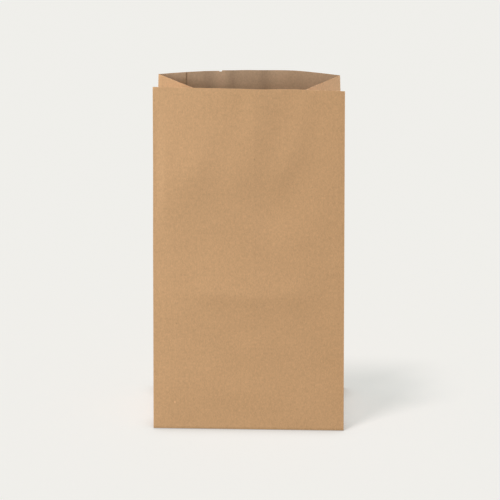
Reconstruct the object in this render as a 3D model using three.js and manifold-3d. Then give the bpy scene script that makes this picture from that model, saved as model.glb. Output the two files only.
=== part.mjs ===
// A block-bottom bag of brown kraft paper, standing open.
//
// One sheet is wrapped into a flat tube with a pleat in each side, glued along a lap seam at
// the back, and closed by folding the tube's end into a rectangular base. So the bag is one
// solid: the sheet's middle surface is laid out first, it is given the paper's thickness, and
// the glued flaps of the base are joined on underneath.
//
// Millimetres, +Z up, front panel towards -Y, origin at the bottom centre of the bag.

import * as THREE from "three";
import { mergeVertices } from "three/addons/utils/BufferGeometryUtils.js";
import Module from "manifold-3d";

// The cut and folded sheet.
const WIDTH = 152.4; // front and back panels
const GUSSET = 92; // each pleated side panel, and so the depth of the base
const HEIGHT = 281; // from the base to the mouth, along the paper
const PAPER = 0.1; // one layer
const HALF_WIDTH = WIDTH / 2;
const HALF_GUSSET = GUSSET / 2;

// How the open bag stands: the base is square, and the pleats draw the mouth in.
const SWAY = -2.7; // the mouth's shift sideways
const FRONT_LEAN = { left: 31, right: 25 }; // how far the front corners lean back at the mouth
const FRONT_HOLLOW = 0.12; // the front panel's curve from foot to mouth, as a share of its lean
const FRONT_RIM_BOW = { depth: 2.4, centre: 0.5, reach: 0.45 }; // a soft bow right of the middle
const BACK_CREASE_Y = 34; // the back panel's level crease, half a gusset up
const BACK_CORNER_Y = { left: 17.2, right: 19.3 }; // the back corners of the mouth
// The back rim stands behind its corners: round on the left, level from the middle to a soft
// bend near the right corner, and straight from there.
const BACK_RIM_BOW = { depth: 9, roundness: 1.7, bend: 0.53 };
const BACK_CORNER_INSET = 4; // how far the back corners are drawn in sideways
const FOLD_DROP = 8.5; // how far the pleats' inner folds hang below the corners
const FOLD_FORWARD = { left: 1.2, right: 4 }; // their shift towards the front at the mouth

// The lap seam and the nick in the rim, measured along the back panel from its middle.
const SEAM_OUTER_EDGE = -67.5;
const SEAM_INNER_EDGE = -53.5;
const SEAM_SLOPE = 0.1; // an edge one layer high is one layer wide
const NICK = { left: -25.4, right: -22.9, slope: 0.3, depth: 1.2, step: 0.4, fade: -38 };

// The base: two long flaps that overlap along the middle.
const FLAP_DEPTH = 57;
const SINK = 0.03; // how far glued layers sink into each other

const KRAFT = new THREE.Color().setRGB(0.76, 0.6, 0.43, THREE.SRGBColorSpace);

const mix = (a, b, share) => a + (b - a) * share;
const rise = (run, length) => Math.sqrt(length * length - run * run);

// Where a point of a large panel lies. "across" runs from -1 at the panel's left edge to 1 at
// its right one, and "up" is the distance from the base along the paper.
function frontPoint(across, up) {
  const share = up / HEIGHT;
  const bow = 1 - ((across - FRONT_RIM_BOW.centre) / FRONT_RIM_BOW.reach) ** 2;
  const corners = mix(FRONT_LEAN.left, FRONT_LEAN.right, (across + 1) / 2);
  const lean = corners + FRONT_RIM_BOW.depth * Math.max(0, bow);
  const hollow = FRONT_HOLLOW * Math.sin(Math.PI * share);
  return new THREE.Vector3(
    across * HALF_WIDTH + SWAY * share,
    -HALF_GUSSET + lean * (share + hollow),
    rise(lean * share, up),
  );
}

function backBow(across) {
  const { depth, roundness, bend } = BACK_RIM_BOW;
  if (across < 0) return depth * (1 - (-across) ** roundness);
  return depth * Math.min(1, (1 - across) / (1 - bend));
}

function backPoint(across, up) {
  const share = up / HEIGHT;
  const x = across * (HALF_WIDTH - BACK_CORNER_INSET * share ** 2) + SWAY * share;
  const low = Math.min(up, HALF_GUSSET);
  const lowRun = ((HALF_GUSSET - BACK_CREASE_Y) * low) / HALF_GUSSET;
  const high = up - low;
  const rim = mix(BACK_CORNER_Y.left, BACK_CORNER_Y.right, (across + 1) / 2);
  const run = BACK_CREASE_Y - rim - backBow(across);
  const highRun = (run * high) / (HEIGHT - HALF_GUSSET);
  return new THREE.Vector3(
    x,
    HALF_GUSSET - lowRun - highRun,
    rise(lowRun, low) + rise(highRun, high),
  );
}

// A pleat's inner fold. It keeps half a gusset from the front and the back edge of its side,
// so in plan it lies where two circles cross.
function foldPoint(side, up) {
  const front = frontPoint(side, up);
  const back = backPoint(side, up);
  const chord = new THREE.Vector2(back.x - front.x, back.y - front.y);
  const reach = rise(chord.length() / 2, rise(FOLD_DROP, HALF_GUSSET));
  const inward = new THREE.Vector2(-side * chord.y, side * chord.x).normalize();
  const share = (up - HALF_GUSSET) / (HEIGHT - HALF_GUSSET);
  const forward = share * (side < 0 ? FOLD_FORWARD.left : FOLD_FORWARD.right);
  return new THREE.Vector3(
    (front.x + back.x) / 2 + inward.x * reach,
    (front.y + back.y) / 2 + inward.y * reach - forward,
    front.z - FOLD_DROP,
  );
}

// A point of a side panel, with "over" from 0 at its front edge to GUSSET at its back edge.
// Creases at 45 degrees run from the foot's two corners up to the inner fold, and the panel is
// a flat triangle between them.
function sidePoint(side, over, up) {
  const front = frontPoint(side, up);
  const back = backPoint(side, up);
  const tip = foldPoint(side, Math.max(up, HALF_GUSSET));
  const width = Math.min(up, HALF_GUSSET);
  const slant = width / HALF_GUSSET;
  const frontCrease = frontPoint(side, 0).lerp(tip, slant);
  const backCrease = backPoint(side, 0).lerp(tip, slant);
  if (over < width) return front.lerp(frontCrease, over / width);
  if (over > GUSSET - width) return back.lerp(backCrease, (GUSSET - over) / width);
  const flat = GUSSET - 2 * width;
  return flat === 0 ? tip : frontCrease.lerp(backCrease, (over - width) / flat);
}

// The loop of stations round the bag, anticlockwise from above. Each knows its place at any
// height, how far the paper's two faces stand off the middle surface, how much is trimmed off
// its top, and which diagonal splits the cells after it, so that every crease is an edge.
const LEVELS = [0, 11.5, 23, 34.5, 46, 57, 70, 90, 120, 155, 190, 225, 252, 270, HEIGHT];
const FRONT_CELLS = 10;
const BACK_STATIONS = [76.2, 64, 52, 40.4, 28, 16, 4, -10];

function station(place, options = {}) {
  return { place, outer: PAPER / 2, inner: -PAPER / 2, trim: 0, falling: false, ...options };
}

function frontStations() {
  return Array.from({ length: FRONT_CELLS }, (_, i) =>
    station((up) => frontPoint(-1 + (2 * i) / FRONT_CELLS, up)),
  );
}

function sideStations(side) {
  const rows = LEVELS.filter((level) => level < HALF_GUSSET);
  const overs = [...rows, ...rows.map((level) => level + HALF_GUSSET)];
  return overs.map((over) =>
    station((up) => sidePoint(side, side > 0 ? over : GUSSET - over, up), {
      falling: over >= HALF_GUSSET,
    }),
  );
}

function backStations() {
  const underLap = { inner: -PAPER * 1.5 };
  const pastLap = { inner: -PAPER * 1.5, outer: -PAPER / 2 };
  const half = SEAM_SLOPE / 2;
  const list = [
    ...BACK_STATIONS.map((x) => [x, {}]),
    [NICK.right, {}],
    [NICK.right - NICK.slope, { trim: NICK.depth }],
    [NICK.left + NICK.slope, { trim: NICK.depth }],
    [NICK.left, { trim: NICK.step }],
    [NICK.fade, {}],
    [SEAM_INNER_EDGE + half, {}],
    [SEAM_INNER_EDGE - half, underLap],
    [SEAM_OUTER_EDGE + half, underLap],
    [SEAM_OUTER_EDGE - half, pastLap],
  ];
  return list.map(([x, options]) => station((up) => backPoint(x / HALF_WIDTH, up), options));
}

// The sheet's middle surface: a tube of cells on the stations and levels, closed by the base.
function middleSurface() {
  const loop = [...frontStations(), ...sideStations(1), ...backStations(), ...sideStations(-1)];
  const points = LEVELS.flatMap((level) =>
    loop.map((s) => s.place(Math.min(level, HEIGHT - s.trim))),
  );
  const faces = [];
  LEVELS.slice(1).forEach((_, row) => {
    loop.forEach((s, i) => {
      const next = (i + 1) % loop.length;
      const [a, b] = [row * loop.length + i, row * loop.length + next];
      const [c, d] = [a + loop.length, b + loop.length];
      faces.push(...(s.falling ? [[a, b, c], [b, d, c]] : [[a, b, d], [a, d, c]]));
    });
  });
  const centre = points.push(new THREE.Vector3()) - 1;
  loop.forEach((_, i) => faces.push([(i + 1) % loop.length, i, centre]));
  return { loop, points, faces };
}

// How far a point moves so that it ends at the given distance from every plane it lies in.
function offset(normals, distance) {
  const slack = 1e-4;
  const sum = new THREE.Matrix3().set(slack, 0, 0, 0, slack, 0, 0, 0, slack);
  const pull = new THREE.Vector3();
  for (const n of normals) {
    const { x, y, z } = n;
    [x * x, x * y, x * z, y * x, y * y, y * z, z * x, z * y, z * z].forEach((value, i) => {
      sum.elements[i] += value;
    });
    pull.addScaledVector(n, distance);
  }
  return pull.applyMatrix3(sum.invert());
}

// Gives the middle surface the paper's thickness: an outer skin, an inner one, and the rim.
function thicken({ loop, points, faces }) {
  const normals = points.map(() => []);
  for (const face of faces) {
    const [a, b, c] = face.map((i) => points[i]);
    const normal = new THREE.Vector3().crossVectors(b.clone().sub(a), c.clone().sub(a));
    face.forEach((i) => normals[i].push(normal.clone().normalize()));
  }
  const plain = station(null);
  const owner = (i) => (i < points.length - 1 ? loop[i % loop.length] : plain);
  const skin = (name) => points.map((p, i) => p.clone().add(offset(normals[i], owner(i)[name])));
  const count = points.length;
  const inner = faces.map(([a, b, c]) => [a + count, c + count, b + count]);
  const top = (LEVELS.length - 1) * loop.length;
  const rim = loop.flatMap((_, i) => {
    const [a, b] = [top + i, top + ((i + 1) % loop.length)];
    return [[a, b, b + count], [a, b + count, a + count]];
  });
  const geometry = new THREE.BufferGeometry();
  const corners = [...skin("outer"), ...skin("inner")].flatMap((p) => p.toArray());
  geometry.setAttribute("position", new THREE.Float32BufferAttribute(corners, 3));
  geometry.setIndex([...faces, ...inner, ...rim].flat());
  return geometry;
}

// A long flap of the base: its ends are folded in at 45 degrees from the base's corners.
function flap(side, low, high) {
  const edge = side * (HALF_GUSSET + PAPER / 2);
  const free = edge - side * FLAP_DEPTH;
  const half = HALF_WIDTH - FLAP_DEPTH;
  const shape = new THREE.Shape([
    new THREE.Vector2(-HALF_WIDTH, edge),
    new THREE.Vector2(HALF_WIDTH, edge),
    new THREE.Vector2(half, free),
    new THREE.Vector2(-half, free),
  ]);
  const geometry = new THREE.ExtrudeGeometry(shape, { depth: high - low, bevelEnabled: false });
  return geometry.translate(0, 0, low);
}

const wasm = await Module();
wasm.setup();

function toSolid(geometry) {
  geometry.deleteAttribute("normal");
  geometry.deleteAttribute("uv");
  const merged = mergeVertices(geometry, 1e-4);
  return new wasm.Manifold(
    new wasm.Mesh({
      numProp: 3,
      vertProperties: new Float32Array(merged.attributes.position.array),
      triVerts: new Uint32Array(merged.index.array),
    }),
  );
}

function toGeometry(solid) {
  const mesh = solid.getMesh();
  const geometry = new THREE.BufferGeometry();
  geometry.setAttribute("position", new THREE.BufferAttribute(mesh.vertProperties, 3));
  geometry.setIndex(new THREE.BufferAttribute(mesh.triVerts, 1));
  return geometry;
}

// The front flap is folded first and the back flap is glued over it, so the back one is the
// lowest layer and steps up to the sheet where the front one ends.
const floor = -PAPER / 2;
const frontFlap = toSolid(flap(-1, floor - PAPER, floor + SINK));
const backFlap = toSolid(flap(1, floor - 2 * PAPER, floor + SINK));
const solid = toSolid(thicken(middleSurface())).add(frontFlap).add(backFlap);

const geometry = toGeometry(solid);
geometry.computeBoundingBox();
const middle = geometry.boundingBox.getCenter(new THREE.Vector3());
geometry.translate(-middle.x, -middle.y, -geometry.boundingBox.min.z);
geometry.computeVertexNormals();

const bag = new THREE.Mesh(
  geometry,
  new THREE.MeshStandardMaterial({ color: KRAFT, roughness: 0.85, metalness: 0 }),
);
bag.name = "paper_bag";

export default new THREE.Group().add(bag);
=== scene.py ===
# %% [markdown]
# # A brown paper lunch bag, cut flat and folded up
#
# The real bag starts as one flat sheet of kraft paper. A machine wraps it into a tube, glues a
# lap seam, tucks a pleat into each side and folds the tube's end into a rectangular base. This
# lesson follows the same order: the sheet is cut flat, Geometry Nodes fold it, and modifiers
# round its folds and give it the thickness of paper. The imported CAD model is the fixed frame
# that everything is measured from.

# %% Load the frame
import math

import bmesh
import bpy
import numpy as np
from mathutils import Matrix, Vector


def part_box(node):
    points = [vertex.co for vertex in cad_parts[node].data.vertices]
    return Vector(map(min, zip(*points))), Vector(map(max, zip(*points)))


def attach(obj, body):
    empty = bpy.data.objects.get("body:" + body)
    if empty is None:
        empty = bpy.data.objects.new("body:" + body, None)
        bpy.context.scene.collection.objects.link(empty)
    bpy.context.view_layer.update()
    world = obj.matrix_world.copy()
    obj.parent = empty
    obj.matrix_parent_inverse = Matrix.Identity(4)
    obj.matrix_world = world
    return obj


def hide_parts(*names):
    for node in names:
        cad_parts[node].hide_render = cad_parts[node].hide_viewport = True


NODE = "paper_bag"
MM = 0.001
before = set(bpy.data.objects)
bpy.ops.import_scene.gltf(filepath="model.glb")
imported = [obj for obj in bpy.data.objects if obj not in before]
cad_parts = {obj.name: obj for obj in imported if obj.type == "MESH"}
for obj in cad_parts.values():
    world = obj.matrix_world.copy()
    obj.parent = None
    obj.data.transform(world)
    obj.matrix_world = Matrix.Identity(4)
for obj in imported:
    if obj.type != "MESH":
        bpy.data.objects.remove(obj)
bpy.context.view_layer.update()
low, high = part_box(NODE)
print("frame:", sorted(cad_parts), "box in mm:", [round(v / MM, 1) for v in (*low, *high)])

# %% [markdown]
# ## The camera
#
# A tall, plain box is best seen from far away through a long lens, so that its edges stay nearly
# parallel. The camera looks down by about twenty degrees, just enough to see into the mouth. It
# is placed first, because everything else is judged through it.

# %% Place the camera
CAMERA_DISTANCE = 5.0
CAMERA_ELEVATION = math.radians(21.016)
CAMERA_AZIMUTH = math.radians(0.716)
CAMERA_ROLL = math.radians(0.502)
CAMERA_TARGET = Vector((0.8 * MM, 0.0, 0.4878 * high.z))
SENSOR_WIDTH = 36.0
FOCAL_LENGTH = 449.3
FAR_LIMIT = 100.0


def new_object(name, data):
    """A new object, shown in the scene."""
    thing = bpy.data.objects.new(name, data)
    bpy.context.scene.collection.objects.link(thing)
    return thing


camera_data = bpy.data.cameras.new("camera")
camera_data.sensor_width = SENSOR_WIDTH
camera_data.lens = FOCAL_LENGTH
camera_data.clip_end = FAR_LIMIT
camera = new_object("camera", camera_data)
bpy.context.scene.camera = camera
towards_camera = Vector((
    math.sin(CAMERA_AZIMUTH) * math.cos(CAMERA_ELEVATION),
    -math.cos(CAMERA_AZIMUTH) * math.cos(CAMERA_ELEVATION),
    math.sin(CAMERA_ELEVATION),
))
look = towards_camera.to_track_quat("Z", "Y").to_matrix() @ Matrix.Rotation(CAMERA_ROLL, 3, "Z")
camera_place = CAMERA_TARGET + CAMERA_DISTANCE * towards_camera
camera.matrix_world = Matrix.Translation(camera_place) @ look.to_4x4()
print("camera at", [round(v, 3) for v in camera.matrix_world.translation])

# %% [markdown]
# ## The sheet's sizes
#
# A lunch bag is known by three sizes: the width of its front, the depth of its pleated sides and
# its height. They fix every fold. The frame says where the foot stands. The foot is raised by
# two and a half thicknesses of paper, because two glued flaps lie under its own layer.

# %% Name the sheet's sizes
PAPER = 0.1 * MM
HALF_WIDTH = 76.2 * MM
HALF_GUSSET = 46.0 * MM
GUSSET = 2 * HALF_GUSSET
HEIGHT = 281.0 * MM
FLAP = 57.0 * MM
TUCK = 45.0 * MM
SEAM_INNER_EDGE = -53.5 * MM
SEAM_OUTER_EDGE = -67.5 * MM
FOOT = Vector((high.x - HALF_WIDTH - PAPER, 0.0, 2.5 * PAPER))
print("the foot's middle, in mm:", [round(v / MM, 2) for v in FOOT])

# %% [markdown]
# ## Cutting the sheet
#
# The sheet is a grid of cells about two millimetres wide. That is fine enough for soft bends,
# and with equal steps the creases that run at 45 degrees pass exactly through its corners. Each
# column remembers its panel, its place across the bag and how far round the side it has come.
# The rows below zero become the base, and a row lies exactly at the ends of the tucks, at the
# foot and at the level crease. The sheet starts at the hidden end of the lap seam, goes all the
# way round, and ends on the outside of the same seam, so the seam really has two layers. A few
# extra columns give the nick in the back rim and the painted shadow line beside the seam their
# sharp edges.

# %% Lay out the columns and rows
FRONT, BACK, SIDE = 0, 1, 2
CELL = 2.0 * MM
NEAR = 0.1 * MM
NICK_LEFT, NICK_RIGHT = -25.1 * MM, -23.2 * MM
STEP_LEFT, STEP_RIGHT = -38.0 * MM, -25.4 * MM
NICK_SLOPE = 0.3 * MM
# a dark line is painted beside the seam, where the lap's lifted edge casts its shadow
LAP_SHADOW_LINE = -53.0 * MM
LAP_SHADOW_REACH = 0.5 * MM
FINE_COLUMNS = [
    NICK_RIGHT + NICK_SLOPE, NICK_RIGHT, NICK_LEFT, STEP_RIGHT, STEP_LEFT,
    LAP_SHADOW_LINE + LAP_SHADOW_REACH, LAP_SHADOW_LINE, LAP_SHADOW_LINE - LAP_SHADOW_REACH,
]
LEVELS = [-FLAP, -TUCK, 0.0, HALF_GUSSET, HEIGHT]


def steps(start, end):
    """Evenly spaced values about one cell apart."""
    return np.linspace(start, end, max(2, round(abs(end - start) / CELL) + 1))


def back_columns():
    """The back panel from its right edge to the seam, with the extra columns for fine things."""
    even = [x for x in steps(HALF_WIDTH, SEAM_OUTER_EDGE)
            if min(abs(x - fine) for fine in FINE_COLUMNS) > CELL / 2]
    return sorted(even + FINE_COLUMNS, reverse=True)


runs = [
    (BACK, -1, [(x, GUSSET) for x in steps(SEAM_INNER_EDGE, -HALF_WIDTH)]),
    (SIDE, -1, [(-HALF_WIDTH, over) for over in steps(GUSSET, 0)[1:]]),
    (FRONT, 0, [(x, 0.0) for x in steps(-HALF_WIDTH, HALF_WIDTH)[1:]]),
    (SIDE, 1, [(HALF_WIDTH, over) for over in steps(0, GUSSET)[1:]]),
    (BACK, 1, [(x, GUSSET) for x in back_columns()[1:]]),
]
columns = [(panel, end, x, over) for panel, end, places in runs for x, over in places]
panel, end, x_flat, over = (np.array(column) for column in zip(*columns))
along = np.concatenate([[0.0], np.cumsum(np.hypot(np.diff(x_flat), np.diff(over)))])
rows = np.concatenate([steps(a, b)[:-1] for a, b in zip(LEVELS, LEVELS[1:])] + [[HEIGHT]])
print(len(columns), "columns and", len(rows), "rows; the sheet is",
      round(along[-1] / MM, 1), "by", round((HEIGHT + FLAP) / MM, 1), "mm")

# %% [markdown]
# A nick and a short step are trimmed off the back rim, where the knife that parts one bag from
# the next has bitten twice. Only the last row moves, so they cost nothing.

# %% Trim the rim
NICK_DEPTH = 1.0 * MM
STEP_DEPTH = 0.4 * MM
up = np.repeat(rows[:, None], len(columns), axis=1)
is_outer_back = (panel == BACK) & (end == 1)
in_nick = is_outer_back & (x_flat < NICK_RIGHT + NEAR) & (x_flat > NICK_LEFT - NEAR)
in_step = is_outer_back & (x_flat < STEP_RIGHT + NEAR) & (x_flat > STEP_LEFT - NEAR)
up[-1, in_nick] -= NICK_DEPTH
up[-1, in_step] -= STEP_DEPTH * (x_flat[in_step] - STEP_LEFT) / (STEP_RIGHT - STEP_LEFT)
print("trimmed", int(in_nick.sum() + in_step.sum()), "columns of the back rim")

# %% [markdown]
# ## What handling did to it
#
# New paper is never quite flat. Packing presses faint level bars across the front, opening the
# bag leaves soft vertical waves under the rim, and a thumb leaves a shallow dent. Each mark is a
# soft hill or hollow, given by its place, its reach across and up, its turn and its height, and
# all marks add up to one number per corner of the sheet. A given list beats random
# noise here, because these marks are what the eye looks for.

# %% Press marks into the sheet
# panel, x, up, reach across, reach up, turn in degrees, height, all lengths in mm
MARKS = [
    (FRONT, -4, 109, 34, 4.5, -1, 0.26),
    (FRONT, 0, 110, 46, 19, 0, 0.8),
    (FRONT, 40, 113, 9, 8, 0, 0.4),
    (FRONT, -30, 113, 9, 9, 0, 0.35),
    (FRONT, -20, 30, 30, 10, 6, 0.25),
    (FRONT, 12, 270, 8, 24, -4, 1.2),
    (FRONT, 20, 184, 15, 15, 0, -1.2),
    (FRONT, 30, 220, 7, 22, -21, 0.9),
    (FRONT, 45, 268, 5, 15, -8, 0.7),
    (FRONT, -40, 219, 9, 18, -14, 1.2),
    (FRONT, -56, 205, 22, 36, 0, 1.8),
    (FRONT, -8, 212, 7, 17, -10, 0.6),
    (FRONT, -8, 262, 6, 14, 0, -0.6),
    (FRONT, -2, 231, 20, 3, 0, -0.10),
    (FRONT, -45, 160, 16, 20, 25, -0.5),
    (FRONT, 48, 165, 14, 26, -12, 0.7),
    (FRONT, 56, 60, 14, 30, 8, -0.6),
    (FRONT, -60, 50, 9, 34, 4, 0.5),
    (BACK, -26, 250, 5, 45, 0, 0.35),
    (BACK, -13, 250, 4, 45, 0, -0.4),
    (BACK, 24, 250, 6, 45, 0, 0.4),
    (BACK, 44, 245, 6, 45, 0, -0.3),
    (BACK, 20, 120, 50, 40, 15, 1.2),
    (BACK, -30, 160, 30, 35, -10, -0.9),
    (BACK, 0, 100, 80, 8, 0, -0.5),
    (SIDE, 22, 170, 8, 50, 0, 0.9),
    (SIDE, 68, 150, 9, 60, 0, -0.9),
    (SIDE, 70, 235, 8, 22, 8, 0.6),
]


def press(relief, place_x, mark):
    """Adds one soft hill or hollow to the relief of its own panel."""
    kind, x, y, reach_x, reach_y, turn, height = mark
    dx = place_x - x * MM
    dy = up - y * MM
    cos, sin = math.cos(math.radians(turn)), math.sin(math.radians(turn))
    a = (dx * cos + dy * sin) / (reach_x * MM)
    b = (dy * cos - dx * sin) / (reach_y * MM)
    hill = np.exp(-(a * a + b * b) / 2)
    return relief + np.where(panel == kind, height * MM * hill, 0.0)


on_side = panel == SIDE
place_x = np.where(on_side, over, x_flat)[None, :]
relief = np.zeros_like(up)
for mark in MARKS:
    relief = press(relief, place_x, mark)
print("relief from", round(relief.min() / MM, 2), "to", round(relief.max() / MM, 2), "mm")

# %% [markdown]
# The corner folds and the foot hold the paper straight, so the marks fade out towards them. One
# corner has softened with handling: high up, the fold at the front's left edge sinks in a little.

# %% Fade the marks and soften one corner
HOLD_REACH = 12 * MM
SOFT_DEPTH = 0.3 * MM
SOFT_REACH = 5 * MM
SOFT_FROM = 150 * MM
SOFT_FADE = 60 * MM
FAR_AWAY = 1.0
from_side_edge = np.minimum(over, GUSSET - over)
from_corner_fold = np.where(on_side, from_side_edge, HALF_WIDTH - abs(x_flat))
above_base = np.clip(up / HOLD_REACH, 0, 1)
slack = np.clip(from_corner_fold / HOLD_REACH, 0, 1)[None, :] * above_base
slack = slack * slack * (3 - 2 * slack)
on_left_side = on_side & (end == -1)
from_front_left = np.select([panel == FRONT, on_left_side], [x_flat + HALF_WIDTH, over], FAR_AWAY)
softened = np.clip((up - SOFT_FROM) / SOFT_FADE, 0, 1)
sink = -SOFT_DEPTH * np.exp(-from_front_left / SOFT_REACH)[None, :] * softened
print("the corner sinks in by up to", round(-sink.min() / MM, 2), "mm")

# %% [markdown]
# Folding breaks the paper's surface fibres, so a fold is a little paler than the panels. On the
# outside that paleness is also a painted highlight, where the folds and the cut rim catch the
# light. The corners of the grid that lie on a fold or a cut edge get a value of 1, and the paper's
# colour reads it later. Inside the back panel, faint upright bands are painted light and shade of
# soft ripples, and a dark line beside the seam is the painted shadow of the lap's lifted edge. They
# are a change of tone and not dents, which would make the rim wavy.

# %% Mark the folds and the painted light and shade inside
# place across the back panel and reach, both in mm, and change of tone: painted light above zero, painted
# shade below
RIPPLE_LIGHT_AND_SHADE = [
    (-34.6, 3.2, -0.12),
    (-24.0, 4.0, 0.13),
    (-14.5, 2.6, -0.15),
    (12.5, 3.2, -0.15),
    (26.5, 6.0, 0.12),
]
# darkening of the painted shadow that the lap's lifted edge casts
LAP_SHADOW_TONE = -0.45
corner_fold = from_corner_fold < NEAR
pleat_fold = on_side & (abs(over - HALF_GUSSET) < NEAR)
slanted_fold = on_side & (abs(from_side_edge - up) < NEAR)
back_crease = (panel == BACK) & (abs(up - HALF_GUSSET) < NEAR)
base_fold = abs(up) < NEAR
rim = np.zeros(up.shape, bool)
rim[-1] = True
lap_edge = is_outer_back & (abs(x_flat - SEAM_OUTER_EDGE) < NEAR)
folds = corner_fold | pleat_fold | slanted_fold | back_crease | base_fold
# paler folds and cut edges: partly wear, partly a painted highlight where they catch the light
wear_and_highlight = np.where(folds | rim | lap_edge, 1.0, 0.0)

tone = np.zeros(len(columns))
# painted light and shade of soft upright ripples inside the back panel
for x, reach, change in RIPPLE_LIGHT_AND_SHADE:
    tone += change * np.exp(-((x_flat / MM - x) / reach) ** 2 / 2) * (panel == BACK)
# a dark line painted where the lap's lifted edge casts its shadow on the back panel
tone[is_outer_back & (abs(x_flat - LAP_SHADOW_LINE) < NEAR)] = LAP_SHADOW_TONE
print(int(wear_and_highlight.sum()), "corners of the sheet lie on a fold or a cut edge")

# %% [markdown]
# In the lap, the hidden end lies a little over one thickness of paper inside the outer one. Its
# edge lifts a few layers, where the glue stops short. The outer end's edge stands out by less,
# and lies flat where the base presses on it.

# %% Stack the layers of the lap
LAP_LAYERS = 1.2
INNER_LIFT = 6
OUTER_LIFT = 2.0
LIFT_REACH = 3 * MM
hidden_lap = (panel == BACK) & (end == -1)
near_inner_edge = np.clip(1 - abs(x_flat - SEAM_INNER_EDGE) / LIFT_REACH, 0, 1)
near_outer_edge = np.clip(1 - abs(x_flat - SEAM_OUTER_EDGE) / LIFT_REACH, 0, 1)
off_corner = np.clip((x_flat + HALF_WIDTH) / LIFT_REACH, 0, 1)
inner_layer = off_corner * (LAP_LAYERS + INNER_LIFT * near_inner_edge**2)
outer_layer = -OUTER_LIFT * near_outer_edge**2 * above_base
layer = np.where(hidden_lap, inner_layer, np.where(is_outer_back, outer_layer, 0.0))
print("layers from", round(layer.min(), 1), "to", round(layer.max(), 1))

# %% [markdown]
# ## The flat mesh
#
# The grid becomes a mesh with plain attributes for all of this. Most cells stay quads. The cells
# that a slanted crease crosses are cut into two triangles along it, so that it can fold sharply.
# The sides have no cells in the lowest rows, because their tucked ends are shorter than the
# flaps.

# %% Cut the cells
def side_edge_distance(pair):
    """How far two columns lie from the nearer edge of their side panel."""
    return np.where(on_side[pair], from_side_edge[pair], 0.0)


def sheet_faces():
    """Quads of the grid, with the cells on the slanted creases cut along them."""
    width = len(columns)
    cut_off_rows = np.sum(rows < -TUCK - NEAR)
    faces = []
    for row in range(len(rows) - 1):
        for column in range(width - 1):
            in_side = on_side[column + 1] and (on_side[column] or corner_fold[column])
            a, b = row * width + column, row * width + column + 1
            c, d = b + width, a + width
            if in_side and row < cut_off_rows:
                continue
            if in_side and rows[row] > -NEAR and rows[row + 1] < HALF_GUSSET + NEAR:
                first, second = side_edge_distance(slice(column, column + 2))
                starts_here = abs(min(first, second) - rows[row]) < NEAR
                ends_here = abs(max(first, second) - rows[row + 1]) < NEAR
                if starts_here and ends_here:
                    faces += [(a, b, c), (a, c, d)] if second > first else [(a, b, d), (b, c, d)]
                    continue
            faces.append((a, b, c, d))
    return faces


cells = sheet_faces()
print(len(cells), "cells, of which", sum(len(cell) == 3 for cell in cells), "are triangles")

# %% [markdown]
# The map named sheet holds each corner's place on the flat paper, in metres, and the fibres
# follow it round every fold. Corners that no cell uses are deleted.

# %% Build the flat sheet
def spread(values, kind):
    """One value for each corner of the grid, row by row."""
    return np.ascontiguousarray(np.broadcast_to(values, up.shape), dtype=kind).ravel()


flat_mesh = bpy.data.meshes.new("flat_sheet")
positions = np.stack([spread(along, float), up.ravel(), np.zeros(up.size)], axis=-1)
flat_mesh.from_pydata(positions.tolist(), [], cells)
numbers = {
    "across": x_flat / HALF_WIDTH,
    "over": over,
    "up": up,
    "relief": relief * slack + sink,
    "slack": slack,
    "wear_and_highlight": wear_and_highlight,
    "layer": layer,
    "tone": tone,
}
for name, values in numbers.items():
    attribute = flat_mesh.attributes.new(name, "FLOAT", "POINT")
    attribute.data.foreach_set("value", spread(values, np.float32))
kinds = flat_mesh.attributes.new("panel", "INT", "POINT")
kinds.data.foreach_set("value", spread(panel, np.int32))
corner_vertex = np.zeros(len(flat_mesh.loops), np.int32)
flat_mesh.loops.foreach_get("vertex_index", corner_vertex)
uv_layer = flat_mesh.uv_layers.new(name="sheet")
uv_layer.data.foreach_set("uv", positions[corner_vertex, :2].astype(np.float32).ravel())
sheet = bmesh.new()
sheet.from_mesh(flat_mesh)
bmesh.ops.delete(sheet, geom=[v for v in sheet.verts if not v.link_faces], context="VERTS")
sheet.to_mesh(flat_mesh)
sheet.free()
bag = new_object("kraft_paper_bag", flat_mesh)
print("flat sheet:", len(flat_mesh.vertices), "corners,", len(flat_mesh.polygons), "cells")

# %% [markdown]
# ## Folding with Geometry Nodes
#
# A fold is a rule: every point of the flat sheet has one place on the standing bag. Geometry
# Nodes suit such a rule, since it can be adjusted by a few dials afterwards. The rule is a long
# sum, so a small helper class lets ordinary arithmetic add the Math nodes.

# %% Arithmetic that writes nodes
class Term:
    """A value in a node tree. Arithmetic on it adds Math nodes."""

    def __init__(self, tree, socket):
        self.tree = tree
        self.socket = socket

    def __add__(self, other):
        return calculate(self.tree, "ADD", self, other)

    def __sub__(self, other):
        return calculate(self.tree, "SUBTRACT", self, other)

    def __rsub__(self, other):
        return calculate(self.tree, "SUBTRACT", other, self)

    def __mul__(self, other):
        return calculate(self.tree, "MULTIPLY", self, other)

    def __truediv__(self, other):
        return calculate(self.tree, "DIVIDE", self, other)

    def __rtruediv__(self, other):
        return calculate(self.tree, "DIVIDE", other, self)

    def __pow__(self, other):
        return calculate(self.tree, "POWER", self, other)

    __radd__ = __add__
    __rmul__ = __mul__


def feed(tree, socket, value):
    """Links a value that comes from a node, or sets one that is a plain number."""
    if isinstance(value, Term):
        tree.links.new(value.socket, socket)
    elif isinstance(value, bpy.types.NodeSocket):
        tree.links.new(value, socket)
    else:
        socket.default_value = value


def add(tree, kind, inputs=None, **options):
    """Adds a node, sets its options and feeds its inputs, by name or by number."""
    node = tree.nodes.new(kind)
    for name, value in options.items():
        setattr(node, name, value)
    for name, value in (inputs or {}).items():
        feed(tree, node.inputs[name], value)
    return node


def calculate(tree, operation, *values):
    """One Math node."""
    node = add(tree, "ShaderNodeMath", dict(enumerate(values)), operation=operation)
    return Term(tree, node.outputs[0])


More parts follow.
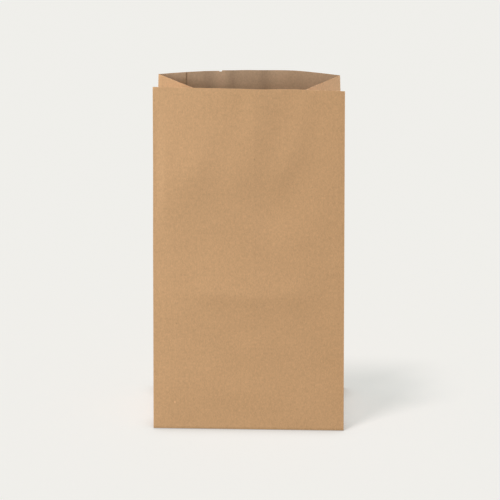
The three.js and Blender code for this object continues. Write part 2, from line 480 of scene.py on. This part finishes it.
def point(tree, x, y, z):
    """A place in space from its three numbers."""
    return Term(tree, add(tree, "ShaderNodeCombineXYZ", {0: x, 1: y, 2: z}).outputs[0])


def between(tree, start, stop, share):
    """The point a share of the way from one point to another. 4, 5 and 1 are its point sockets."""
    node = add(tree, "ShaderNodeMix", {0: share, 4: start, 5: stop}, data_type="VECTOR")
    return Term(tree, node.outputs[1])


def choose(tree, condition, when_true, when_false):
    """One of two points."""
    inputs = {"Switch": condition, "False": when_false, "True": when_true}
    node = add(tree, "GeometryNodeSwitch", inputs, input_type="VECTOR")
    return Term(tree, node.outputs[0])


def slide(start, stop, share):
    """The number a share of the way from one number to another."""
    return start + (stop - start) * share


print("ready to write formulas as nodes")

# %% [markdown]
# The dials describe how this bag stands. Its foot is a full rectangle, and its pleats pull the
# mouth in. The front leans back, a little more at the left corner than at the right. The back
# panel is bent half a pleat up, where the base was pressed flat against it. The values under the
# dials shape the bows of the two rims: where the front's bow lies, how round the back's is on
# its left, and where and how softly the back's bends on its right. The last one says how far the
# lift of the base's front edge reaches.

# %% Set up the tree and its dials
DIALS = {
    "Sway": -2.7 * MM,
    "Front lean left": 31.0 * MM,
    "Front lean right": 25.0 * MM,
    "Front hollow": 0.12,
    "Front bow": 2.4 * MM,
    "Back crease": 34.0 * MM,
    "Back corner left": 17.2 * MM,
    "Back corner right": 19.3 * MM,
    "Back bow": 9.8 * MM,
    "Back inset": 4.0 * MM,
    "Fold drop": 8.5 * MM,
    "Base lift": 0.25 * MM,
    "Fold forward left": 1.2 * MM,
    "Fold forward right": 4.0 * MM,
    "Cockle height": 0.30 * MM,
    "Cockle size": 30.0 * MM,
    "Seed": 4.0,
}
BOW_CENTRE = 0.5
BOW_REACH = 0.45
BACK_ROUNDNESS = 1.7
BACK_BEND = 0.53
SOFT_BEND = 0.35
LIFT_FADE = 5.0 * MM

tree = bpy.data.node_groups.new("fold_the_sheet", "GeometryNodeTree")
tree.interface.new_socket("Geometry", in_out="INPUT", socket_type="NodeSocketGeometry")
tree.interface.new_socket("Geometry", in_out="OUTPUT", socket_type="NodeSocketGeometry")
for name, value in DIALS.items():
    socket = tree.interface.new_socket(name, in_out="INPUT", socket_type="NodeSocketFloat")
    socket.default_value = value
tree.interface.new_socket("Paper", in_out="INPUT", socket_type="NodeSocketMaterial")
inlet = tree.nodes.new("NodeGroupInput")
dial = {name: Term(tree, inlet.outputs[name]) for name in DIALS}


def read(name, kind="FLOAT"):
    """An attribute that was stored on the flat sheet."""
    node = add(tree, "GeometryNodeInputNamedAttribute", {"Name": name}, data_type=kind)
    return Term(tree, next(s for s in node.outputs if s.enabled))


print("fold_the_sheet has", len(DIALS), "dials")

# %% [markdown]
# The two large panels come first. Paper bends but doesn't stretch, so whatever a point moves
# inwards it loses in height, by Pythagoras.

# %% Write the front and back panels
def rise(run, length):
    """The height that a strip of paper still reaches when it leans over by run."""
    return calculate(tree, "SQRT", length * length - run * run)


def front_point(across, up):
    """A point of the front panel. The leans are largest at the rim, which bows a little."""
    share = up / HEIGHT
    bow = calculate(tree, "MAXIMUM", 1 - ((across - BOW_CENTRE) / BOW_REACH) ** 2, 0.0)
    lean = slide(dial["Front lean left"], dial["Front lean right"], (across + 1) / 2)
    lean = lean + dial["Front bow"] * bow
    hollow = dial["Front hollow"] * calculate(tree, "SINE", share * math.pi)
    x = across * HALF_WIDTH + dial["Sway"] * share
    y = lean * (share + hollow) - HALF_GUSSET
    return point(tree, x, y, rise(lean * share, up))


def back_point(across, up):
    """A point of the back panel, which is bent at its level crease and bowed at its rim."""
    share = up / HEIGHT
    x = across * (HALF_WIDTH - dial["Back inset"] * share ** 2) + dial["Sway"] * share
    round_bow = 1 - calculate(tree, "ABSOLUTE", across) ** BACK_ROUNDNESS
    straight_bow = calculate(tree, "SMOOTH_MIN", (1 - across) / (1 - BACK_BEND), 1.0, SOFT_BEND)
    is_left = calculate(tree, "LESS_THAN", across, 0.0)
    bow = dial["Back bow"] * slide(straight_bow, round_bow, is_left)
    low_part = calculate(tree, "MINIMUM", up, HALF_GUSSET)
    low_run = (HALF_GUSSET - dial["Back crease"]) * low_part / HALF_GUSSET
    high_part = up - low_part
    rim = slide(dial["Back corner left"], dial["Back corner right"], (across + 1) / 2)
    high_run = (dial["Back crease"] - rim - bow) * high_part / (HEIGHT - HALF_GUSSET)
    y = HALF_GUSSET - low_run - high_run
    return point(tree, x, y, rise(low_run, low_part) + rise(high_run, high_part))


print("front and back panels written")

# %% [markdown]
# A pleat's inner fold keeps half a pleat of paper to the front edge and half to the back edge,
# so seen from above it lies where two circles cross. Below the height of half a pleat the side
# is a flat triangle, with a slanted crease on either side of it. Those two creases are what
# turn the pleated tube into a rectangular foot.

# %% Write the pleated sides
def parts(vector):
    """The three numbers of a point."""
    node = add(tree, "ShaderNodeSeparateXYZ", {0: vector})
    return [Term(tree, socket) for socket in node.outputs]


def fold_point(side, up):
    """A point of a pleat's inner fold."""
    front_x, front_y, front_z = parts(front_point(side, up))
    back_x, back_y, _ = parts(back_point(side, up))
    chord_x, chord_y = back_x - front_x, back_y - front_y
    chord = calculate(tree, "SQRT", chord_x * chord_x + chord_y * chord_y)
    drop = dial["Fold drop"]
    reach = calculate(tree, "SQRT", HALF_GUSSET**2 - drop * drop - chord * chord / 4)
    share = (up - HALF_GUSSET) / (HEIGHT - HALF_GUSSET)
    forward = slide(dial["Fold forward left"], dial["Fold forward right"], (side + 1) / 2)
    x = (front_x + back_x) / 2 - side * chord_y / chord * reach
    y = (front_y + back_y) / 2 + side * chord_x / chord * reach - forward * share
    return point(tree, x, y, front_z - drop)


def side_point(side, over, up):
    """A point of a pleated side, which is folded in along its middle and its two creases."""
    low_part = calculate(tree, "MINIMUM", up, HALF_GUSSET)
    slant = low_part / HALF_GUSSET
    tip = fold_point(side, calculate(tree, "MAXIMUM", up, HALF_GUSSET))
    front_foot = point(tree, side * HALF_WIDTH, -HALF_GUSSET, 0.0)
    back_foot = point(tree, side * HALF_WIDTH, HALF_GUSSET, 0.0)
    front_crease = between(tree, front_foot, tip, slant)
    back_crease = between(tree, back_foot, tip, slant)
    from_back = GUSSET - over
    front_half = between(tree, front_point(side, up), front_crease, over / low_part)
    back_half = between(tree, back_point(side, up), back_crease, from_back / low_part)
    triangle_share = (over - low_part) / (GUSSET - 2 * low_part)
    triangle = between(tree, front_crease, back_crease, triangle_share)
    in_front = calculate(tree, "LESS_THAN", over, low_part)
    in_back = calculate(tree, "LESS_THAN", from_back, low_part)
    return choose(tree, in_front, front_half, choose(tree, in_back, back_half, triangle))


print("pleated sides written")

# %% [markdown]
# Below the foot the sheet turns under. The sides tuck in first as two triangles, the front flap
# folds over them, and the back flap is glued on last. Each is squeezed between lines at 45
# degrees, and lies one layer of paper under the one before.

# %% Write the base
def base_point(side, across, over, up, is_front, is_side):
    """A point of the base, on the tucked triangle, the front flap or the back flap."""
    under = 0 - up
    tuck_x = side * (HALF_WIDTH - under)
    tuck_y = (over - HALF_GUSSET) * (1 - under / HALF_GUSSET)
    settle = calculate(tree, "MINIMUM", under / CELL, 1.0)
    triangle = point(tree, tuck_x, tuck_y, 0.0)
    flap_x = across * (HALF_WIDTH - under)
    front_flap = point(tree, flap_x, under - HALF_GUSSET, settle * -PAPER)
    back_flap = point(tree, flap_x, HALF_GUSSET - under, settle * (-2 * PAPER))
    flap = choose(tree, is_front, front_flap, back_flap)
    return choose(tree, is_side, triangle, flap)


print("base written")

# %% [markdown]
# Every point of the sheet now picks its own formula, by its panel and by whether it lies above
# or below the foot. The base's front edge doesn't lie quite flat: it is lifted by a fraction of
# a millimetre, and settles a little way in.

# %% Put the fold together
across, over_term, up_term = read("across"), read("over"), read("up")
panel_term = read("panel", "INT")
is_front = calculate(tree, "COMPARE", panel_term, float(FRONT), 0.1)
is_side = calculate(tree, "COMPARE", panel_term, float(SIDE), 0.1)
side_term = calculate(tree, "SIGN", across)
wall_up = calculate(tree, "MAXIMUM", up_term, 0.0)
flat_wall = choose(tree, is_front, front_point(across, wall_up), back_point(across, wall_up))
wall = choose(tree, is_side, side_point(side_term, over_term, wall_up), flat_wall)
base = base_point(side_term, across, over_term, up_term, is_front, is_side)
is_base = calculate(tree, "LESS_THAN", up_term, 0.0)
flat_footed = choose(tree, is_base, base, wall)
folded_x, folded_y, folded_z = parts(flat_footed)
from_front_edge = (folded_y + HALF_GUSSET + folded_z) / LIFT_FADE
lift = dial["Base lift"] * calculate(tree, "EXPONENT", 0 - from_front_edge)
folded = point(tree, folded_x, folded_y, folded_z + lift)
print("the whole fold is", len(tree.nodes), "nodes")

# %% [markdown]
# Once folded, the sheet moves in and out along its own normals: by the pressed marks, by the
# layers of the lap, and by a cockle, the slight waviness that damp leaves in paper. The cockle
# is noise with a fixed seed, laid out on the flat sheet, and it dies out towards the corner
# folds and the foot. The tree ends by setting the material.

# %% Add the relief and finish the tree
placed = add(tree, "GeometryNodeSetPosition", {
    "Geometry": inlet.outputs["Geometry"],
    "Position": add(tree, "ShaderNodeVectorMath", {0: folded, 1: FOOT}, operation="ADD").outputs[0],
})
sheet_place = point(tree, across * HALF_WIDTH + over_term, up_term, panel_term)
waves = add(tree, "ShaderNodeTexNoise", {
    "Vector": sheet_place,
    "W": dial["Seed"],
    "Scale": 1 / dial["Cockle size"],
    "Detail": 1.5,
    "Roughness": 0.4,
}, noise_dimensions="4D")
cockle = (Term(tree, waves.outputs[0]) - 0.5) * dial["Cockle height"] * 2 * read("slack")
outward = read("relief") + cockle - read("layer") * PAPER
normal = tree.nodes.new("GeometryNodeInputNormal")
shift = add(tree, "ShaderNodeVectorMath", {0: normal.outputs[0], "Scale": outward}, operation="SCALE")
relieved = add(tree, "GeometryNodeSetPosition", {
    "Geometry": placed.outputs[0],
    "Offset": shift.outputs[0],
})
realized = add(tree, "GeometryNodeRealizeInstances", {"Geometry": relieved.outputs[0]})
painted = add(tree, "GeometryNodeSetMaterial", {
    "Geometry": realized.outputs[0],
    "Material": inlet.outputs["Paper"],
})
add(tree, "NodeGroupOutput", {"Geometry": painted.outputs[0]})
print("fold_the_sheet is complete, with", len(tree.links), "links")

# %% [markdown]
# ## Kraft paper
#
# Kraft is unbleached wood pulp. From near by it shows pale and dark fibres that lie mostly along
# the machine's direction, small clouds where the pulp settled thicker, and a few dark and pale
# specks. All of it is drawn from the sheet map, so it runs round the folds as it does on real
# paper. A speck sits in a few cells of a Voronoi pattern, and one larger pale fleck has a place
# of its own on the front.

# %% Lay noise and specks on the paper
SPECKS_PER_METRE = 240.0
SPECK_CORE, SPECK_RIM = 0.04, 0.11
SPECK_CHANCE = 0.14
DARK_SPECK, PALE_SPECK = -0.22, 0.16
FLECK_PLACE = (131.9 * MM, 21.8 * MM, 0.0)
FLECK_RADIUS = 0.8 * MM
FLECK_TONE = 0.25


def stored(nodes, name):
    """A number that was stored on the flat sheet."""
    return Term(nodes, add(nodes, "ShaderNodeAttribute", attribute_name=name).outputs["Fac"])


def stretched(nodes, place, squeeze):
    """The sheet's map with what is drawn on it stretched along the bag's height."""
    scale = (1.0, squeeze, 1.0)
    return add(nodes, "ShaderNodeMapping", {"Vector": place, "Scale": scale}).outputs[0]


def noise(nodes, place, scale, detail, roughness):
    """Noise between -0.5 and 0.5 laid on the paper."""
    inputs = {"Vector": place, "Scale": scale, "Detail": detail, "Roughness": roughness}
    return Term(nodes, add(nodes, "ShaderNodeTexNoise", inputs).outputs[0]) - 0.5


def speck_tone(nodes, place):
    """The change of tone in small specks, some dark and some pale."""
    pattern = add(nodes, "ShaderNodeTexVoronoi", {"Vector": place, "Scale": SPECKS_PER_METRE})
    spot = add(nodes, "ShaderNodeMapRange", {
        "Value": pattern.outputs["Distance"],
        "From Min": SPECK_CORE, "From Max": SPECK_RIM, "To Min": 1.0, "To Max": 0.0,
    })
    draw = add(nodes, "ShaderNodeSeparateColor", {0: pattern.outputs["Color"]})
    is_drawn = calculate(nodes, "GREATER_THAN", draw.outputs[0], 1 - SPECK_CHANCE)
    is_pale = calculate(nodes, "GREATER_THAN", draw.outputs[1], 0.5)
    return Term(nodes, spot.outputs[0]) * is_drawn * slide(DARK_SPECK, PALE_SPECK, is_pale)


def fleck_tone(nodes, place):
    """The change of tone in the one pale fleck."""
    apart = add(nodes, "ShaderNodeVectorMath", {0: place, 1: FLECK_PLACE}, operation="DISTANCE")
    return calculate(nodes, "LESS_THAN", apart.outputs["Value"], FLECK_RADIUS) * FLECK_TONE


print("ready to draw on the paper")

# %% [markdown]
# The outside is smoothed by a hot roller and is warm, and its folds are paler, from wear and from a
# painted highlight. The inside is duller and greyer and shows the painted bands of light and shade
# and the painted shadow beside the seam, and the cut edge is pale. One function makes all three.
# The same noise that tints the paper also makes its surface a little rough, through a Bump node,
# because the fibres are far finer than the mesh.

# %% Write the kraft finish
OUTSIDE = (0.652, 0.396, 0.207)
INSIDE = (0.545, 0.367, 0.226)
CUT_EDGE = (0.74, 0.53, 0.34)
# marks per metre, levels of detail and roughness of each kind of grain
CLOUDS = (45.0, 3.0, 0.5)
STREAKS = (300.0, 3.0, 0.6)
FLOCS = (420.0, 3.0, 0.65)
FIBRES = (1000.0, 4.0, 0.75)
CLOUD_TONE, FLOC_TONE, FIBRE_TONE, STREAK_TONE = 0.08, 0.28, 0.62, 0.05
FLOC_HEIGHT, FIBRE_HEIGHT, STREAK_HEIGHT = 0.5, 0.5, 0.3
FIBRE_SQUEEZE = 0.55
STREAK_SQUEEZE = 0.03
WEAR_AND_HIGHLIGHT_SHARPNESS = 5.0
ROUGHNESS_SPREAD = 0.10
SPECULAR = 0.25
SHEEN = 0.08
SHEEN_ROUGHNESS = 0.6


def kraft(name, colour, roughness, fibre_depth, wear_and_highlight_strength=0.0, painted_light_and_shade_strength=0.0):
    """Paper of one colour, with clouds, fibres, specks, folds paler from wear and painted highlight, and
    painted light and shade.
    """
    material = bpy.data.materials.new(name)
    material.use_nodes = True
    nodes = material.node_tree
    surface = nodes.nodes["Principled BSDF"]
    sheet = add(nodes, "ShaderNodeUVMap", uv_map="sheet").outputs[0]
    along_fibres = stretched(nodes, sheet, FIBRE_SQUEEZE)
    clouds = noise(nodes, sheet, *CLOUDS)
    streaks = noise(nodes, stretched(nodes, sheet, STREAK_SQUEEZE), *STREAKS)
    flocs = noise(nodes, along_fibres, *FLOCS)
    fibres = noise(nodes, along_fibres, *FIBRES)
    grain = clouds * CLOUD_TONE + flocs * FLOC_TONE + fibres * FIBRE_TONE + streaks * STREAK_TONE
    # fold: paler folds and cut edges, partly wear and partly a painted highlight; bands: painted light
    # and shade inside, with the painted shadow beside the seam
    fold = stored(nodes, "wear_and_highlight") ** WEAR_AND_HIGHLIGHT_SHARPNESS * wear_and_highlight_strength
    bands = stored(nodes, "tone") * painted_light_and_shade_strength
    value = 1.0 + grain + speck_tone(nodes, along_fibres) + fold + bands + fleck_tone(nodes, sheet)
    tinted = add(nodes, "ShaderNodeVectorMath", {0: colour, "Scale": value}, operation="SCALE")
    feed(nodes, surface.inputs["Base Color"], tinted.outputs[0])
    feed(nodes, surface.inputs["Roughness"], roughness + flocs * ROUGHNESS_SPREAD)
    surface.inputs["Specular IOR Level"].default_value = SPECULAR
    surface.inputs["Sheen Weight"].default_value = SHEEN
    surface.inputs["Sheen Roughness"].default_value = SHEEN_ROUGHNESS
    height = flocs * FLOC_HEIGHT + fibres * FIBRE_HEIGHT + streaks * STREAK_HEIGHT
    bump = add(nodes, "ShaderNodeBump", {"Height": height, "Distance": fibre_depth, "Strength": 1.0})
    feed(nodes, surface.inputs["Normal"], bump.outputs[0])
    return material


finishes = [
    kraft("kraft_outside", OUTSIDE, roughness=0.78, fibre_depth=0.05 * MM, wear_and_highlight_strength=0.10),
    kraft("kraft_inside", INSIDE, roughness=0.86, fibre_depth=0.07 * MM, painted_light_and_shade_strength=1.0),
    kraft("kraft_cut_edge", CUT_EDGE, roughness=0.9, fibre_depth=0.05 * MM),
]
print("finishes:", [finish.name for finish in finishes])

# %% [markdown]
# ## From a folded surface to paper
#
# The fold gives a surface without thickness. A small Bevel rounds every sharp fold, because
# paper fibres don't bend through a point, and Solidify gives the sheet its two faces and its cut
# edges, each with a finish of its own. The result is kept as a plain mesh, so nothing about it
# changes later.

# %% Fold, round and thicken the sheet
FOLD_RADIUS = 0.35 * MM
FOLD_ANGLE = math.radians(25)
for finish in finishes:
    flat_mesh.materials.append(finish)
fold_modifier = bag.modifiers.new("fold", "NODES")
fold_modifier.node_group = tree
identifiers = {item.name: item.identifier for item in tree.interface.items_tree if item.in_out == "INPUT"}
for name, value in DIALS.items():
    fold_modifier[identifiers[name]] = value
fold_modifier[identifiers["Paper"]] = finishes[0]

round_folds = bag.modifiers.new("round_folds", "BEVEL")
round_folds.limit_method = "ANGLE"
round_folds.angle_limit = FOLD_ANGLE
round_folds.width = FOLD_RADIUS
round_folds.segments = 2

thicken = bag.modifiers.new("thicken", "SOLIDIFY")
thicken.thickness = PAPER
thicken.offset = 0.0
thicken.use_even_offset = False
thicken.material_offset = 1
thicken.material_offset_rim = 2

bpy.context.view_layer.update()
depsgraph = bpy.context.evaluated_depsgraph_get()
evaluated = bag.evaluated_get(depsgraph)
paper_mesh = bpy.data.meshes.new_from_object(
    evaluated, preserve_all_data_layers=True, depsgraph=depsgraph)
bag.modifiers.clear()
bag.data = paper_mesh
print("paper:", len(paper_mesh.vertices), "corners,", len(paper_mesh.polygons), "faces, materials",
      [finish.name for finish in paper_mesh.materials])

# %% [markdown]
# The panels are shaded smooth, and only the sharper folds keep a crisp edge. The bag rides on
# the frame's one body, and stands in for its one CAD node.

# %% Shade it and put it in the frame
SHARP_FOLD = math.radians(32)
for polygon in paper_mesh.polygons:
    polygon.use_smooth = True
paper_mesh.set_sharp_from_angle(angle=SHARP_FOLD)
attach(bag, "root")
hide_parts(NODE)
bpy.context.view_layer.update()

# %% [markdown]
# ## Floor
#
# The bag stands on a seamless pale sweep, which is far larger than the view. It glows a little,
# so that its tone comes near the backdrop's. An Ambient Occlusion node dims that glow close to
# the bag, where the paper keeps the light out, and so leaves a soft line of shade at its foot.
# Bounced light doesn't see the floor, so the floor can't tint the paper.

# %% Lay the floor
FLOOR_REACH = 20.0
FLOOR_COLOUR = (0.43, 0.43, 0.43, 1.0)
FLOOR_GLOW = (0.510, 0.539, 0.550, 1.0)
CONTACT_REACH = 0.02
CONTACT_SHARPNESS = 1.8
CONTACT_STRENGTH = 1.6
LEAST_GLOW = 0.5
floor_mesh = bpy.data.meshes.new("floor")
corners = [(x * FLOOR_REACH, y * FLOOR_REACH, 0) for x, y in ((-1, -1), (1, -1), (1, 1), (-1, 1))]
floor_mesh.from_pydata(corners, [], [(0, 1, 2, 3)])
floor = new_object("floor", floor_mesh)
floor_paint = bpy.data.materials.new("pale_sweep")
floor_paint.use_nodes = True
floor_nodes = floor_paint.node_tree
floor_surface = floor_nodes.nodes["Principled BSDF"]
floor_surface.inputs["Base Color"].default_value = FLOOR_COLOUR
floor_surface.inputs["Roughness"].default_value = 1.0
floor_surface.inputs["Specular IOR Level"].default_value = 0.0
floor_surface.inputs["Emission Color"].default_value = FLOOR_GLOW
openness = add(floor_nodes, "ShaderNodeAmbientOcclusion", {"Distance": CONTACT_REACH}, samples=8)
crowded = 1.0 - Term(floor_nodes, openness.outputs["AO"])
glow_left = 1.0 - crowded ** CONTACT_SHARPNESS * CONTACT_STRENGTH
glow = calculate(floor_nodes, "MAXIMUM", glow_left, LEAST_GLOW)
feed(floor_nodes, floor_surface.inputs["Emission Strength"], glow)
floor.visible_diffuse = False
floor.visible_glossy = False
floor_mesh.materials.append(floor_paint)
print("floor laid")

# %% [markdown]
# ## Light
#
# A dim, even sky fills the shadows. The backdrop behind the bag has a colour of its own, which
# only the camera sees, so that changing it doesn't change the light.

# %% Colour the sky and the backdrop
SKY = (0.40, 0.36, 0.27, 1.0)
BACKDROP = (0.863, 0.855, 0.815, 1.0)
world = bpy.data.worlds.new("sky")
bpy.context.scene.world = world
world.use_nodes = True
sky_nodes = world.node_tree
dome = sky_nodes.nodes["Background"]
dome.inputs["Color"].default_value = SKY
backdrop = add(sky_nodes, "ShaderNodeBackground", {"Color": BACKDROP})
seen = add(sky_nodes, "ShaderNodeLightPath")
sky_mix = add(sky_nodes, "ShaderNodeMixShader", {
    0: seen.outputs["Is Camera Ray"], 1: dome.outputs[0], 2: backdrop.outputs[0],
})
feed(sky_nodes, sky_nodes.nodes["World Output"].inputs["Surface"], sky_mix.outputs[0])
bpy.context.scene.view_settings.view_transform = "Standard"
print("sky and backdrop coloured")

# %% [markdown]
# A distant key light from high on the front left casts the short soft shadow to the back right.
# Three soft panels, at the front left, on the right and behind, shine only on the bag, by light
# linking, so they brighten its sides without brightening the floor.

# %% Light the bag
KEY_FROM = Vector((-0.29, -0.22, 1.0))
KEY_STRENGTH = 1.45
KEY_SOFTNESS = math.radians(11)
KEY_COLOUR = (1.0, 0.90, 0.87)
# place, size, power and colour, for the front left, the right and behind
PANELS = [
    (Vector((-0.62, -0.36, 0.44)), 0.3, 2.64, (1.00, 1.136, 1.318)),
    (Vector((0.95, -0.10, 0.45)), 0.4, 5.12, (1.00, 1.17, 1.48)),
    (Vector((-0.35, 1.00, 0.50)), 0.5, 7.0, (1.00, 1.10, 1.30)),
]
key_data = bpy.data.lights.new("key", "SUN")
key_data.energy = KEY_STRENGTH
key_data.angle = KEY_SOFTNESS
key_data.color = KEY_COLOUR
key = new_object("key", key_data)
key.rotation_euler = KEY_FROM.to_track_quat("Z", "Y").to_euler()

only_bag = bpy.data.collections.new("only_bag")
only_bag.objects.link(bag)
bag_middle = Vector((0.0, 0.0, high.z / 2))
for number, (place, size, power, colour) in enumerate(PANELS, start=1):
    panel_data = bpy.data.lights.new(f"side_panel_{number}", "AREA")
    panel_data.size = size
    panel_data.energy = power
    panel_data.color = colour
    panel_light = new_object(panel_data.name, panel_data)
    panel_light.location = place
    panel_light.rotation_euler = (place - bag_middle).to_track_quat("Z", "Y").to_euler()
    panel_light.light_linking.receiver_collection = only_bag
